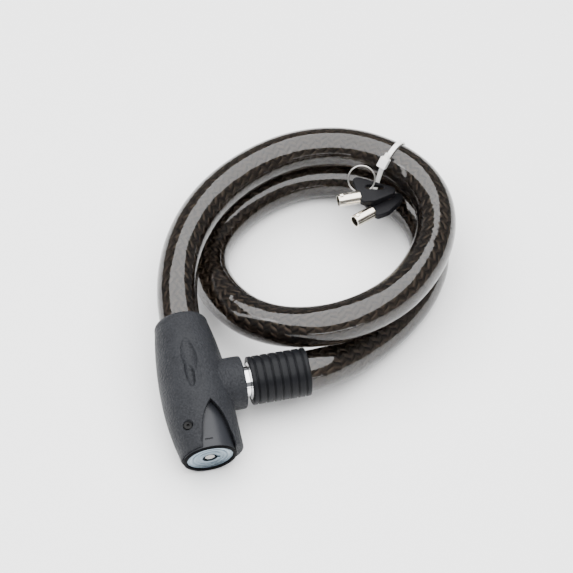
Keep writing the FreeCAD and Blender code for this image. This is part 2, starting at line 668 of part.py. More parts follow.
def bend_radii(points):
    """Radius of the arc at each bend."""
    radii = []
    for before, bend, after in zip(points, points[1:], points[2:]):
        run = min((bend - before).Length, (after - bend).Length)
        turn = (bend - before).getAngle(after - bend)
        radii.append(ARC_SHARE * run / math.tan(turn / 2.0))
    return radii


def cable_wire(points, start, end):
    """Straight runs joined by tangent arcs, from start to end on the first and last lines."""
    edges = []
    last = start
    for before, bend, after, radius in zip(points, points[1:], points[2:], bend_radii(points)):
        back = (before - bend).normalize()
        ahead = (after - bend).normalize()
        half = (bend - before).getAngle(after - bend) / 2.0
        reach = radius * math.tan(half)
        inward = (back + ahead).normalize()
        middle = bend + inward * (radius / math.cos(half) - radius)
        edges.append(line(last, bend + back * reach))
        edges.append(arc(bend + back * reach, middle, bend + ahead * reach))
        last = bend + ahead * reach
    edges.append(line(last, end))
    return Part.Wire(edges)


def tube_along(wire, radius):
    """Round solid swept along a wire."""
    first = wire.Edges[0]
    start = first.valueAt(first.FirstParameter)
    direction = first.tangentAt(first.FirstParameter)
    profile = Part.Wire(Part.makeCircle(radius, start, direction))
    solid = wire.makePipeShell([profile], True, False)
    expected = math.pi * radius * radius * wire.Length
    print("tube", round(radius, 2), "volume", round(solid.Volume), "of", round(expected))
    return solid


def cable_sleeve(points):
    """Clear sleeve from inside the head to inside the plug's boot."""
    wire = cable_wire(points, points[0], points[-1])
    outer = tube_along(wire, CABLE_D / 2.0)
    return outer.cut(tube_along(wire, CABLE_D / 2.0 - SLEEVE_WALL))


def cable_core(points, shift):
    """Braided steel core from the head's ferrule to the plug's ferrule."""
    start = tilt(V(0, HEAD_CORE_START, 0)) + shift
    end = V(PLUG_CORE_END, 0, 0) + shift
    core = tube_along(cable_wire(points, start, end), core_radius())
    crimps = place(rod_z(CRIMP_PIN_R + FIT, -BODY_R, BODY_R, 0.0, HEAD_CRIMP_Y), shift)
    crimps = crimps.fuse(place(rod_z(CRIMP_PIN_R + FIT, -BOOT_R, BOOT_R, PLUG_CRIMP_X), shift))
    return core.cut(crimps)


def least_gap(points):
    """Least gap between the cable's surface and its own other turns, measured on points of its line."""
    wire = cable_wire(points, points[0], points[-1])
    places = wire.discretize(Distance=2.0)
    step = wire.Length / (len(places) - 1)
    apart = int(round(3.0 * CABLE_D / step))
    least = wire.Length
    for i, a in enumerate(places):
        for b in places[i + apart:]:
            least = min(least, a.distanceToPoint(b))
    return least - CABLE_D


def tie_frame(points):
    """Upper and lower places that the tie goes round, its up direction, its inward direction and its normal."""
    upper_run = points[TIE_UPPER_RUN + 2:TIE_UPPER_RUN + 4]
    lower_run = points[TIE_LOWER_RUN + 2:TIE_LOWER_RUN + 4]
    upper = (upper_run[0] + upper_run[1]) * 0.5
    lower = (lower_run[0] + lower_run[1]) * 0.5
    up = (upper - lower).normalize()
    along = (upper_run[1] - upper_run[0]).normalize()
    inward = along.cross(up).normalize()
    return upper, lower, up, inward, up.cross(inward).normalize()


def stadium(upper, lower, up, side, radius, normal, width):
    """Slab with round ends about two places, of the given width along its normal."""
    a = lower + side * radius
    b = upper + side * radius
    c = upper - side * radius
    d = lower - side * radius
    edges = [line(a, b), arc(b, upper + up * radius, c), line(c, d), arc(d, lower - up * radius, a)]
    face = Part.Face(Part.Wire(edges))
    face.translate(normal * (-width / 2.0))
    return face.extrude(normal * width)


def cable_tie(points):
    """Nylon tie round both turns, with its ratchet head on the inner side and a cut tail."""
    upper, lower, up, inward, normal = tie_frame(points)
    inner_r = CABLE_D / 2.0 + TIE_GAP
    strap = stadium(upper, lower, up, inward, inner_r + TIE_T, normal, TIE_W)
    strap = strap.cut(stadium(upper, lower, up, inward, inner_r, normal, TIE_W * 3.0))
    angle = math.radians(TIE_HEAD_ANGLE)
    out = inward * math.cos(angle) + up * math.sin(angle)
    climb = up * math.cos(angle) - inward * math.sin(angle)
    low = upper + out * (inner_r + TIE_HEAD_SET) - climb * (TIE_HEAD_LENGTH / 2.0)
    head = box_along(low, out, normal, climb, TIE_HEAD_HEIGHT, TIE_HEAD_WIDTH, TIE_HEAD_LENGTH)
    tail_low = low + out * (TIE_HEAD_HEIGHT - TIE_T - TIE_TAIL_SET) + climb * (TIE_HEAD_LENGTH - TIE_TAIL_SET)
    tail = box_along(tail_low, out, normal, climb, TIE_T, TIE_W, TIE_TAIL + TIE_TAIL_SET)
    return strap.fuse(head).fuse(tail)


def box_along(low, depth_way, width_way, height_way, depth, width, height):
    """Box standing on a place: centred across its width, growing along the other two directions."""
    a = low - width_way * (width / 2.0)
    wire = Part.makePolygon([a, a + depth_way * depth, a + depth_way * depth + width_way * width,
                             a + width_way * width, a])
    return Part.Face(wire).extrude(height_way * height)


def key_barrel():
    """Tubular key barrel along -X with its lug, hollow end and the shank that the bow is moulded on."""
    barrel = rod_x(BARREL_R, -BARREL_LENGTH, 0.0)
    barrel = barrel.cut(rod_x(BARREL_BORE_R, -BARREL_LENGTH - 1.0, -BARREL_LENGTH + BARREL_BORE_DEPTH))
    lug = block(-BARREL_LENGTH + 1.0, -BARREL_LENGTH + 1.0 + BARREL_LUG_L, -BARREL_LUG_W / 2.0,
                BARREL_LUG_W / 2.0, BARREL_R - 0.3, BARREL_R + BARREL_LUG_H)
    shank = rod_x(BOW_T / 2.0 - 1.0, 0.0, BARREL_SHANK)
    return barrel.fuse(lug).fuse(shank)


def key_bow():
    """Moulded bow: a rounded three-cornered plate with a slot for the ring and a relief under its web."""
    corners = [V(u, v, -BOW_T / 2.0) for u, v in BOW_CORNERS]
    plate = Part.Face(Part.makePolygon(corners + [corners[0]])).extrude(V(0, 0, BOW_T))
    upright = [e for e in plate.Edges if abs(e.tangentAt(e.FirstParameter).z) > 0.9]
    plate = plate.makeFillet(BOW_CORNER_ROUND, upright)
    rims = [e for e in plate.Edges if abs(e.tangentAt(e.FirstParameter).z) < 0.1]
    plate = plate.makeFillet(BOW_EDGE_ROUND, rims)
    slot = slot_form(BOW_SLOT_LENGTH, BOW_SLOT_WIDTH, -BOW_T, BOW_T)
    relief = block(-5.0, BOW_SLOT_U + BOW_SLOT_LENGTH / 2.0, BOW_SLOT_V - 1.5, 30.0,
                   -BOW_T, BOW_T / 2.0 - BOW_WEB_T)
    plate = plate.cut(slot).cut(relief)
    return plate.cut(rod_x(BOW_T / 2.0 - 1.0 + FIT, -2.0, BARREL_SHANK + FIT)).cut(
        rod_x(BARREL_R + FIT, -BARREL_LENGTH, 0.0))


def slot_form(length, width, low, high):
    """Long hole with round ends at the bow's slot."""
    half = (length - width) / 2.0
    r = width / 2.0
    edges = [
        line(V(-half, -r, low), V(half, -r, low)),
        arc(V(half, -r, low), V(half + r, 0, low), V(half, r, low)),
        line(V(half, r, low), V(-half, r, low)),
        arc(V(-half, r, low), V(-half - r, 0, low), V(-half, -r, low)),
    ]
    form = Part.Face(Part.Wire(edges)).extrude(V(0, 0, high - low))
    form.rotate(V(0, 0, 0), V(0, 0, 1), BOW_SLOT_ANGLE)
    form.translate(V(BOW_SLOT_U, BOW_SLOT_V, 0))
    return form


def lay_key(shape, key_place, shift):
    """Put a key piece where it lies inside the coil."""
    x, y, z, heading = key_place
    shape.rotate(V(0, 0, 0), V(0, 0, 1), heading)
    shape.translate(V(x + shift.x, y + shift.y, z))
    return shape


def key_ring(shift):
    """Wire ring through both bows' slots, leaning back."""
    ring = Part.makeTorus(RING_R, RING_WIRE_R)
    ring.rotate(V(0, 0, 0), V(1, 0, 0), RING_LEAN)
    ring.rotate(V(0, 0, 0), V(0, 0, 1), RING_HEADING)
    ring.translate(V(RING_CENTRE[0] + shift.x, RING_CENTRE[1] + shift.y, RING_CENTRE[2]))
    return ring


def place(shape, shift):
    """Put a head or plug piece in the part's frame."""
    shape.rotate(V(0, 0, 0), V(1, 0, 0), HEAD_PITCH)
    shape.translate(shift)
    return shape


def head_shift(pieces):
    """Move that puts the head's footprint at the origin and its lowest point on the surface."""
    box = FreeCAD.BoundBox()
    for piece in pieces:
        tilted = piece.copy()
        tilted.rotate(V(0, 0, 0), V(1, 0, 0), HEAD_PITCH)
        box.add(tilted.optimalBoundingBox(False, False))
    return V(-box.Center.x, -box.Center.y, -box.ZMin)


def build():
    """Every node of the lock by name, in the part's frame."""
    cover_top, cover_bottom = head_covers()
    head = {
        "cover_top": cover_top,
        "cover_bottom": cover_bottom,
        "cover_screws": cover_screws(),
        "lock_body": lock_body(),
        "nose_sleeve": nose_sleeve(),
        "face_seal": face_seal(),
        "face_plate": face_plate(),
        "cylinder_shell": cylinder_shell(),
        "rotor": rotor(),
        "key_pins": key_pins(),
        "driver_pins": driver_pins(),
        "pin_springs": pin_springs(),
        "pin_housing": pin_housing(),
        "retaining_pin": retaining_pin(),
        "drive_cam": drive_cam(),
        "latch_plate": latch_plate(),
        "socket_liner": socket_liner(),
        "head_ferrule": head_ferrule(),
        "head_ferrule_pin": head_ferrule_pin(),
    }
    plug = {
        "plug_pin": plug_pin(),
        "plug_ferrule": plug_ferrule(),
        "plug_ferrule_pin": plug_ferrule_pin(),
        "plug_boot": plug_boot(),
    }
    shift = head_shift([cover_top, cover_bottom, head["nose_sleeve"], head["face_plate"]])
    print("head centre", [round(v, 3) for v in shift])
    nodes = {name: place(shape, shift) for name, shape in {**head, **plug}.items()}
    points = cable_points(shift)
    print("bend radii", [round(r, 1) for r in bend_radii(points)])
    print("cable length", round(cable_wire(points, points[0], points[-1]).Length, 1))
    print("least gap of the cable to itself", round(least_gap(points), 2))
    nodes["cable_sleeve"] = cable_sleeve(points)
    nodes["cable_core"] = cable_core(points, shift)
    nodes["cable_tie"] = cable_tie(points)
    nodes["key_ring"] = key_ring(shift)
    for number, key_place in enumerate(KEY_PLACES, 1):
        nodes["key_%d_bow" % number] = lay_key(key_bow(), key_place, shift)
        nodes["key_%d_barrel" % number] = lay_key(key_barrel(), key_place, shift)
    return nodes


os.makedirs("parts", exist_ok=True)
for name, shape in build().items():
    shape.exportStep("parts/%s.step" % name)
    print(name, shape.isValid(), len(shape.Solids), round(shape.Volume, 1))
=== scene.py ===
import json
import logging
import math
from dataclasses import dataclass
from enum import Enum

import bmesh
import bpy
import numpy as np
from mathutils import Matrix, Vector


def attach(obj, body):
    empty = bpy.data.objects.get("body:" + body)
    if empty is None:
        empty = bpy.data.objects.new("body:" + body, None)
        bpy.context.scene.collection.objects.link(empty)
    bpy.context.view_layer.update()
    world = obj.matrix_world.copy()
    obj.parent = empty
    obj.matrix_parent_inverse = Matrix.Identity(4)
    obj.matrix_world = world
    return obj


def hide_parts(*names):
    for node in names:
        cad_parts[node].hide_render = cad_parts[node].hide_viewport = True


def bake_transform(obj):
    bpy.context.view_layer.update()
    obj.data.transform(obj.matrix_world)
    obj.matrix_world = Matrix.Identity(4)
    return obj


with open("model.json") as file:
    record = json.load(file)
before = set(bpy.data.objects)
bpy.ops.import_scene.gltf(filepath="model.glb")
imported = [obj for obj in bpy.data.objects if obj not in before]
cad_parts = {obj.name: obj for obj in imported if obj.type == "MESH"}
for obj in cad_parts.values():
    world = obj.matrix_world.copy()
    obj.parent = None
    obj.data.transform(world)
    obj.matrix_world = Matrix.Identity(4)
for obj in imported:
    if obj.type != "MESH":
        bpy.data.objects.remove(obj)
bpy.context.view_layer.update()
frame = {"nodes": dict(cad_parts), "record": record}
log = logging.getLogger("cable_lock")

Point = tuple[float, float, float]
Colour = tuple[float, float, float]
Span = tuple[float, float]
Faces = list[tuple[int, ...]]

ORIGIN: Point = (0.0, 0.0, 0.0)
FULL_TURN = 2.0 * math.pi
QUARTER_TURN = math.radians(90.0)

# The head's own directions in the part's frame: it lies tipped forward on its front rim
HEAD_CENTRE = Vector((-0.0036, -0.000356, 0.022954))
HEAD_PITCH = math.radians(12.0)
BARREL_WAY = Vector((0.0, math.cos(HEAD_PITCH), math.sin(HEAD_PITCH)))
HEAD_TOP_WAY = Vector((0.0, -math.sin(HEAD_PITCH), math.cos(HEAD_PITCH)))

# From the head's centre along its barrel, to the lock face in front and to the cable's exit behind
FACE_DISTANCE = 0.040
FACE_TURN: Point = (QUARTER_TURN + HEAD_PITCH, 0.0, 0.0)

EDGE_SAMPLES = 4


class Wear(Enum):
    """How strongly handling shows on a surface."""

    NEW = 0.25
    HANDLED = 0.5
    RUBBED = 0.6
    CLOUDED = 0.8


class BoxShape(Enum):
    """Outline of a soft box."""

    STRIP = "RECTANGLE"
    ROUND = "ELLIPSE"


class Tree:
    """Short way of adding nodes to a material or a shader node group."""

    MIX_FACTOR = 0
    MIX_FIRST = 6
    MIX_SECOND = 7
    MIX_RESULT = 2

    def __init__(self, tree: bpy.types.NodeTree) -> None:
        """Keep the tree.

        Args:
            tree: the node tree that nodes are added to.
        """
        self.tree = tree

    def link(self, source: bpy.types.NodeSocket, target: bpy.types.NodeSocket) -> None:
        """Join two sockets.

        Args:
            source: an output.
            target: an input.
        """
        self.tree.links.new(source, target)

    def add(self, kind: str, values: dict[str | int, object] | None = None,
            **settings: object) -> bpy.types.Node:
        """Add one node.

        Args:
            kind: the node's type name.
            values: input values by socket name or number; another node's output socket is linked.
            settings: properties of the node itself.

        Returns:
            The new node.
        """
        node = self.tree.nodes.new(kind)
        for name, setting in settings.items():
            setattr(node, name, setting)
        for socket, value in (values or {}).items():
            if isinstance(value, bpy.types.NodeSocket):
                self.link(value, node.inputs[socket])
            else:
                node.inputs[socket].default_value = value
        return node

    def object_place(self) -> bpy.types.NodeSocket:
        """Return the surface's place on its object."""
        return self.add("ShaderNodeTexCoord").outputs["Object"]

    def use(self, group: bpy.types.NodeTree, vector: bpy.types.NodeSocket, **values: float) -> bpy.types.Node:
        """Place a shared group.

        Args:
            group: the node group.
            vector: the place that its pattern reads.
            values: its other inputs by name.

        Returns:
            The group's node.
        """
        return self.add("ShaderNodeGroup", {"Vector": vector, **values}, node_tree=group)

    def noise(self, vector: bpy.types.NodeSocket, scale: bpy.types.NodeSocket | float, detail: float,
              roughness: float = 0.5) -> bpy.types.NodeSocket:
        """Add a noise pattern.

        Args:
            vector: the place that it reads.
            scale: features to a metre.
            detail: number of finer layers.
            roughness: strength of the finer layers.

        Returns:
            The pattern's value.
        """
        values = {"Vector": vector, "Scale": scale, "Detail": detail, "Roughness": roughness}
        return self.add("ShaderNodeTexNoise", values).outputs[0]

    def calculate(self, operation: str, first: bpy.types.NodeSocket,
                  second: bpy.types.NodeSocket | float) -> bpy.types.NodeSocket:
        """Add one sum.

        Args:
            operation: the sum's name.
            first: first value.
            second: second value.

        Returns:
            The result.
        """
        return self.add("ShaderNodeMath", {0: first, 1: second}, operation=operation).outputs[0]

    def ramp(self, factor: bpy.types.NodeSocket, low: float, high: float,
             to_low: float = 0.0, to_high: float = 1.0) -> bpy.types.NodeSocket:
        """Map a value from one range to another, held at its ends.

        Args:
            factor: the value.
            low: value that gives to_low.
            high: value that gives to_high.
            to_low: result at low.
            to_high: result at high.

        Returns:
            The mapped value.
        """
        node = self.add("ShaderNodeMapRange", {0: factor, 1: low, 2: high, 3: to_low, 4: to_high}, clamp=True)
        return node.outputs[0]

    def mix(self, factor: bpy.types.NodeSocket, first: bpy.types.NodeSocket | Colour,
            second: bpy.types.NodeSocket | Colour) -> bpy.types.NodeSocket:
        """Mix two colours.

        Args:
            factor: share of the second colour.
            first: first colour.
            second: second colour.

        Returns:
            The mixed colour.
        """
        node = self.add("ShaderNodeMix", {self.MIX_FACTOR: factor}, data_type="RGBA")
        for socket, colour in ((self.MIX_FIRST, first), (self.MIX_SECOND, second)):
            if isinstance(colour, bpy.types.NodeSocket):
                self.link(colour, node.inputs[socket])
            else:
                node.inputs[socket].default_value = (*colour, 1.0)
        return node.outputs[self.MIX_RESULT]

    def soft_edge(self, radius: float) -> bpy.types.NodeSocket:
        """Return a normal that rounds the edges.

        Args:
            radius: radius of the rounding.
        """
        return self.add("ShaderNodeBevel", {"Radius": radius}, samples=EDGE_SAMPLES).outputs[0]

    def bump(self, height: bpy.types.NodeSocket, strength: float, depth: float,
             normal: bpy.types.NodeSocket | None = None) -> bpy.types.NodeSocket:
        """Raise a surface by a pattern.

        Args:
            height: the pattern.
            strength: share of the full effect.
            depth: height of the pattern in metres.
            normal: the normal that it starts from, if not the surface's own.

        Returns:
            The raised surface's normal.
        """
        values = {"Strength": strength, "Distance": depth, "Height": height}
        if normal is not None:
            values["Normal"] = normal
        return self.add("ShaderNodeBump", values).outputs[0]


def new_group(name: str, inputs: dict[str, float | Point],
              outputs: tuple[str, ...]) -> tuple[Tree, bpy.types.Node, bpy.types.Node]:
    """Start a shader node group.

    Args:
        name: the group's name.
        inputs: input names with default values, a tuple for a vector.
        outputs: names of the values that it puts out.

    Returns:
        The group's tree, its input node and its output node.
    """
    group = bpy.data.node_groups.new(name, "ShaderNodeTree")
    for socket, value in inputs.items():
        kind = "NodeSocketVector" if isinstance(value, tuple) else "NodeSocketFloat"
        made = group.interface.new_socket(socket, in_out="INPUT", socket_type=kind)
        made.default_value = value
    for socket in outputs:
        group.interface.new_socket(socket, in_out="OUTPUT", socket_type="NodeSocketFloat")
    tree = Tree(group)
    return tree, tree.add("NodeGroupInput"), tree.add("NodeGroupOutput")


def new_material(name: str) -> tuple[bpy.types.Material, Tree, bpy.types.Node]:
    """Start a material.

    Args:
        name: the material's name.

    Returns:
        The material, its tree and its Principled shader.
    """
    material = bpy.data.materials.new(name)
    material.use_nodes = True
    surface = next(n for n in material.node_tree.nodes if n.type == "BSDF_PRINCIPLED")
    return material, Tree(material.node_tree), surface


@dataclass
class Effects:
    """Shader node groups that several finishes share."""

    swell_scale: float = 160.0
    grain_tone: Span = (0.3, 0.7)
    blotch: Span = (0.35, 0.7)
    ring_unevenness: float = 0.7
    ring_tone: Span = (0.35, 0.65)

    def __post_init__(self) -> None:
        """Build each group once."""
        self.grain = self.grain_group()
        self.handling = self.handling_group()
        self.turning = self.turning_group()

    def grain_group(self) -> bpy.types.NodeTree:
        """Return the fine leather-like grain of a moulding: small cells with soft swells between them."""
        tree, source, result = new_group("moulded_grain", {"Vector": ORIGIN, "Scale": 1800.0, "Swell": 0.4},
                                         ("Height", "Tone"))
        place, scale = source.outputs["Vector"], source.outputs["Scale"]
        cells = tree.add("ShaderNodeTexVoronoi", {"Vector": place, "Scale": scale}, feature="SMOOTH_F1")
        fine = tree.noise(place, scale, detail=3.0, roughness=0.6)
        wide = tree.noise(place, self.swell_scale, detail=2.0)
        bumps = tree.calculate("MULTIPLY", cells.outputs[0], fine)
        swell = tree.calculate("MULTIPLY", wide, source.outputs["Swell"])
        tree.link(tree.calculate("ADD", bumps, swell), result.inputs["Height"])
        tree.link(tree.ramp(fine, *self.grain_tone), result.inputs["Tone"])
        return tree.tree

    def handling_group(self) -> bpy.types.NodeTree:
        """Return soft blotches that vary a surface's gloss and shade."""
        tree, source, result = new_group("handling", {"Vector": ORIGIN, "Scale": 90.0, "Amount": 0.5},
                                         ("Mask",))
        blotch = tree.noise(source.outputs["Vector"], source.outputs["Scale"], detail=4.0, roughness=0.55)
        mask = tree.calculate("MULTIPLY", tree.ramp(blotch, *self.blotch), source.outputs["Amount"])
        tree.link(mask, result.inputs["Mask"])
        return tree.tree

    def turning_group(self) -> bpy.types.NodeTree:
        """Return the fine rings that a lathe leaves about the Z axis of the given vector."""
        tree, source, result = new_group("turning_marks", {"Vector": ORIGIN, "Pitch": 0.00035},
                                         ("Height", "Tone"))
        flat = tree.add("ShaderNodeVectorMath", {0: source.outputs["Vector"], 1: (1.0, 1.0, 0.0)},
                        operation="MULTIPLY")
        radius = tree.add("ShaderNodeVectorMath", {0: flat.outputs[0]}, operation="LENGTH")
        count = tree.calculate("DIVIDE", radius.outputs["Value"], source.outputs["Pitch"])
        wave = tree.calculate("PINGPONG", count, 1.0)
        along = tree.add("ShaderNodeCombineXYZ", {0: count}).outputs[0]
        uneven = tree.noise(along, self.ring_unevenness, detail=3.0)
        tree.link(tree.calculate("MULTIPLY", wave, uneven), result.inputs["Height"])
        tree.link(tree.ramp(uneven, *self.ring_tone), result.inputs["Tone"])
        return tree.tree


@dataclass(frozen=True)
class MouldedFinish:
    """Plastic or rubber from a grained mould."""

    name: str
    shade: Colour
    worn_shade: Colour
    roughness: float
    grain_scale: float
    grain_depth: float
    shine: float
    wear: Wear = Wear.HANDLED
    edge_round: float = 0.0003
    grain_strength: float = 0.9
    worn_gloss: float = 0.12

    def make(self, effects: Effects) -> bpy.types.Material:
        """Return the material.

        Args:
            effects: the shared node groups.
        """
        material, tree, surface = new_material(self.name)
        place = tree.object_place()
        grain = tree.use(effects.grain, place, Scale=self.grain_scale)
        worn = tree.use(effects.handling, place, Amount=self.wear.value).outputs["Mask"]
        normal = tree.bump(grain.outputs["Height"], self.grain_strength, self.grain_depth,
                           tree.soft_edge(self.edge_round))
        colour = tree.mix(worn, self.shade, self.worn_shade)
        tree.link(tree.mix(grain.outputs["Tone"], colour, self.worn_shade), surface.inputs["Base Color"])
        tree.link(tree.ramp(worn, 0.0, 1.0, self.roughness, self.roughness - self.worn_gloss),
                  surface.inputs["Roughness"])
        tree.link(normal, surface.inputs["Normal"])
        surface.inputs["Specular IOR Level"].default_value = self.shine
        return material


@dataclass(frozen=True)
class MetalFinish:
    """Bare or plated metal with turning marks about an axis."""

    name: str
    shade: Colour
    stain: Colour
    roughness: float
    marks: float
    centre: Point = ORIGIN
    turn: Point = ORIGIN
    pitch: float = 0.00035
    ring_stain: float = 0.0
    ring_roughness: float = 0.1
    mark_strength: float = 0.8
    edge_round: float = 0.00015
    wear: Wear = Wear.RUBBED

    def make(self, effects: Effects) -> bpy.types.Material:
        """Return the material.

        Args:
            effects: the shared node groups.
        """
        material, tree, surface = new_material(self.name)
        place = tree.object_place()
        setting = {"Vector": place, "Location": self.centre, "Rotation": self.turn}
        local = tree.add("ShaderNodeMapping", setting, vector_type="TEXTURE").outputs[0]
        marks = tree.use(effects.turning, local, Pitch=self.pitch)
        stained = tree.use(effects.handling, place, Amount=self.wear.value).outputs["Mask"]
        normal = tree.bump(marks.outputs["Height"], self.mark_strength, self.marks,
                           tree.soft_edge(self.edge_round))
        rings = tree.ramp(marks.outputs["Tone"], 0.0, 1.0, 0.0, self.ring_stain)
        colour = tree.mix(stained, self.shade, self.stain)
        tree.link(tree.mix(rings, colour, self.stain), surface.inputs["Base Color"])
        rough = tree.ramp(marks.outputs["Tone"], 0.0, 1.0, self.roughness,
                          self.roughness + self.ring_roughness)
        tree.link(rough, surface.inputs["Roughness"])
        tree.link(normal, surface.inputs["Normal"])
        surface.inputs["Metallic"].default_value = 1.0
        return material


@dataclass(frozen=True)
class SmokeFinish:
    """Clear smoke-brown sleeve, glossy outside, its skin slightly rippled."""

    name: str = "smoke_sleeve"
    tint: Colour = (0.115, 0.098, 0.083)
    roughness: float = 0.03
    rubbed_roughness: float = 0.05
    rub_scale: float = 40.0
    refraction: float = 1.5
    depth_shade: Colour = (0.42, 0.31, 0.20)
    density: float = 60.0
    ripple_scale: float = 70.0
    ripple_strength: float = 0.5
    ripple_depth: float = 0.0006

    def make(self, effects: Effects) -> bpy.types.Material:
        """Return the material.

        Args:
            effects: the shared node groups.
        """
        material, tree, surface = new_material(self.name)
        place = tree.object_place()
        rubbed = tree.use(effects.handling, place, Scale=self.rub_scale).outputs["Mask"]
        ripple = tree.noise(place, self.ripple_scale, detail=3.0)
        tree.link(tree.bump(ripple, self.ripple_strength, self.ripple_depth), surface.inputs["Normal"])
        rough = tree.ramp(rubbed, 0.0, 1.0, self.roughness, self.roughness + self.rubbed_roughness)
        tree.link(rough, surface.inputs["Roughness"])
        surface.inputs["Base Color"].default_value = (*self.tint, 1.0)
        surface.inputs["IOR"].default_value = self.refraction
        surface.inputs["Transmission Weight"].default_value = 1.0
        depth = tree.add("ShaderNodeVolumeAbsorption",
                         {"Color": (*self.depth_shade, 1.0), "Density": self.density})
        output = next(n for n in tree.tree.nodes if n.type == "OUTPUT_MATERIAL")
        tree.link(depth.outputs[0], output.inputs["Volume"])
        return material


@dataclass(frozen=True)
class NylonFinish:
    """Milky nylon that lets a little light through."""

    name: str = "white_nylon"
    shade: Colour = (0.80, 0.81, 0.79)
    thick_shade: Colour = (0.92, 0.90, 0.86)
    roughness: float = 0.42
    rubbed_roughness: float = 0.3
    rub_scale: float = 400.0
    wear: Wear = Wear.CLOUDED
    skin_scale: float = 1500.0
    skin_strength: float = 0.4
    skin_depth: float = 0.00005
    glow: float = 0.25
    glow_reach: Point = (0.002, 0.002, 0.0018)

    def make(self, effects: Effects) -> bpy.types.Material:
        """Return the material.

        Args:
            effects: the shared node groups.
        """
        material, tree, surface = new_material(self.name)
        place = tree.object_place()
        clouding = tree.use(effects.handling, place, Scale=self.rub_scale, Amount=self.wear.value)
        cloud = clouding.outputs["Mask"]
        skin = tree.noise(place, self.skin_scale, detail=2.0)
        tree.link(tree.mix(cloud, self.shade, self.thick_shade), surface.inputs["Base Color"])
        tree.link(tree.bump(skin, self.skin_strength, self.skin_depth), surface.inputs["Normal"])
        rough = tree.ramp(cloud, 0.0, 1.0, self.roughness, self.rubbed_roughness)
        tree.link(rough, surface.inputs["Roughness"])
        surface.inputs["Subsurface Weight"].default_value = self.glow
        surface.inputs["Subsurface Radius"].default_value = self.glow_reach
        surface.inputs["Subsurface Scale"].default_value = 1.0
        return material


class Finishes:
    """Every finish of the lock, made once."""

    def __init__(self) -> None:
        """Make the materials."""
        effects = Effects()
        finishes = (*self.mouldings(), *self.metals(), SmokeFinish(), NylonFinish())
        self.made = {finish.name: finish.make(effects) for finish in finishes}

    @staticmethod
    def mouldings() -> tuple[MouldedFinish, ...]:
        """Return the finishes of the plastic and rubber pieces."""
        return (
            MouldedFinish(name="moulded_cover", shade=(0.0095, 0.0101, 0.0118),
                          worn_shade=(0.021, 0.022, 0.025), roughness=0.52,
                          grain_scale=900.0, grain_depth=0.00075, shine=0.10),
            MouldedFinish(name="moulded_sleeve", shade=(0.014, 0.015, 0.0175),
                          worn_shade=(0.021, 0.022, 0.026), roughness=0.36,
                          grain_scale=2600.0, grain_depth=0.00006, shine=0.22),
            MouldedFinish(name="seal_rubber", shade=(0.0015, 0.0015, 0.002),
                          worn_shade=(0.004, 0.004, 0.0045), roughness=0.6,
                          grain_scale=1800.0, grain_depth=0.00004, shine=0.03),
            MouldedFinish(name="boot_rubber", shade=(0.004, 0.0043, 0.0052),
                          worn_shade=(0.008, 0.0084, 0.0098), roughness=0.38,
                          grain_scale=1500.0, grain_depth=0.00010, shine=0.09, edge_round=0.0012),
            MouldedFinish(name="black_bow", shade=(0.004, 0.004, 0.0046),
                          worn_shade=(0.010, 0.010, 0.0115), roughness=0.42,
                          grain_scale=2400.0, grain_depth=0.00005, shine=0.09,
                          wear=Wear.NEW, edge_round=0.0006),
        )

    @staticmethod
    def metals() -> tuple[MetalFinish, ...]:
        """Return the finishes of the metal pieces."""
        face = tuple(HEAD_CENTRE - BARREL_WAY * FACE_DISTANCE)
        across = (0.0, QUARTER_TURN, 0.0)
        return (
            # Near-black metal: the steel's own dark tone plus painted shade, darkened so that the screws read
            # as the dark holes they sit in. The cable's rope shares this finish.
            MetalFinish(name="dark_steel", shade=(0.016, 0.016, 0.016), stain=(0.008, 0.008, 0.008),
                        roughness=0.45, marks=0.00002),
            MetalFinish(name="cast_body", shade=(0.25, 0.25, 0.26), stain=(0.16, 0.16, 0.16),
                        roughness=0.55, marks=0.00005),
            MetalFinish(name="zinc_face", shade=(0.36, 0.44, 0.50), stain=(0.12, 0.17, 0.21),
                        roughness=0.26, marks=0.00034, centre=face, turn=FACE_TURN, pitch=0.0011,
                        ring_stain=0.8),
            MetalFinish(name="bright_steel", shade=(0.50, 0.49, 0.47), stain=(0.36, 0.34, 0.31),
                        roughness=0.26, marks=0.00002, centre=face, turn=FACE_TURN),
            MetalFinish(name="brass_pins", shade=(0.6, 0.45, 0.2), stain=(0.5, 0.36, 0.15),
                        roughness=0.35, marks=0.00002),
            MetalFinish(name="chromed_pin", shade=(0.80, 0.80, 0.81), stain=(0.72, 0.72, 0.73),
                        roughness=0.07, marks=0.000004, centre=tuple(HEAD_CENTRE), turn=across),
            MetalFinish(name="nickel_barrel", shade=(0.72, 0.68, 0.61), stain=(0.55, 0.48, 0.38),
                        roughness=0.12, marks=0.000001, pitch=0.02),
            MetalFinish(name="braided_core", shade=(0.30, 0.28, 0.255), stain=(0.15, 0.135, 0.12),
                        roughness=0.36, marks=0.00001),
        )

    def put(self, piece: bpy.types.Object, name: str) -> None:
        """Give a piece one finish.

        Args:
            piece: the object.
            name: the finish's name.
        """
        piece.data.materials.clear()
        piece.data.materials.append(self.made[name])


